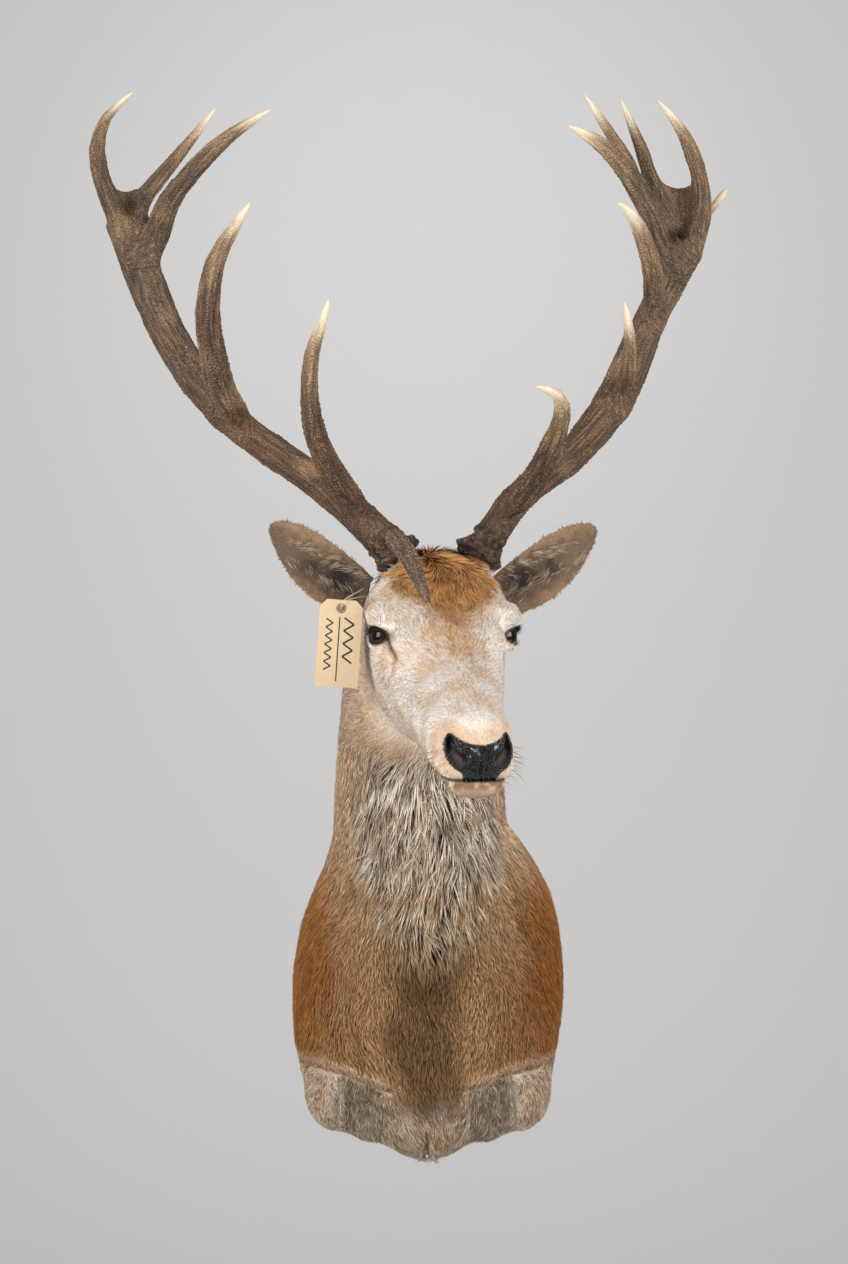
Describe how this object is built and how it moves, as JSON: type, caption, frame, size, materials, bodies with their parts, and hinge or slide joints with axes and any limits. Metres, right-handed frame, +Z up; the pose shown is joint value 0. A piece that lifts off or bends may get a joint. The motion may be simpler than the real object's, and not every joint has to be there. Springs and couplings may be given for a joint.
{
  "type": "red deer stag head mount",
  "caption": "Life-size shoulder mount of a red deer stag with branched antlers, head turned to its left, on a hidden back board, with a blank-style card tag at the ear.",
  "frame": {"origin": "centre of the back board's flat back face, which rests against the wall", "axes": "+Z up, +Y from the board's back into the wall so that the stag looks along -Y, +X towards the stag's own left"},
  "size_m": [0.842, 0.646, 1.3978],
  "materials": {
    "face_coat": "short dense fur, cream to tan, rufous on the crown",
    "neck_coat": "long coarse grey-brown neck hair with pale tips",
    "shoulder_coat": "medium rufous-brown body fur",
    "brisket_coat": "short pale fawn fur on the brisket and leg folds",
    "ear_coat": "thin brown fur with long pale hairs inside",
    "nose_skin": "black pebbled bare skin, semi-gloss",
    "eye_glass": "dark brown glass eye, high gloss",
    "antler": "grooved and pearled brown antler bone, polished ivory tips",
    "board_wood": "plain oiled softwood board",
    "tag_card": "manila card, matt",
    "tag_cotton": "twisted natural cotton string"
  },
  "bodies": {
    "root": {"antler_left_bez_tine": "antler", "antler_left_burr": "antler", "antler_left_crown_inner": "antler", "antler_left_crown_outer": "antler", "antler_left_crown_second": "antler", "antler_left_crown_third": "antler", "antler_left_crown_web": "antler", "antler_left_fourth_tine": "antler", "antler_left_lower_beam": "antler", "antler_left_spur": "antler", "antler_left_trez_tine": "antler", "antler_left_upper_beam": "antler", "antler_right_bez_tine": "antler", "antler_right_brow_tine": "antler", "antler_right_burr": "antler", "antler_right_crown_back": "antler", "antler_right_crown_inner": "antler", "antler_right_crown_outer": "antler", "antler_right_crown_web": "antler", "antler_right_lower_beam": "antler", "antler_right_trez_tine": "antler", "antler_right_upper_beam": "antler", "backing_board": "board_wood", "brisket": "brisket_coat", "ear_left": "ear_coat", "ear_right": "ear_coat", "eye_left": "eye_glass", "eye_right": "eye_glass", "head": "face_coat", "leg_fold_left": "brisket_coat", "leg_fold_right": "brisket_coat", "lower_jaw": "face_coat", "neck": "neck_coat", "nose_pad": "nose_skin", "shoulders": "shoulder_coat", "tag": "tag_card", "tag_string": "tag_cotton"}
  },
  "joints": []
}
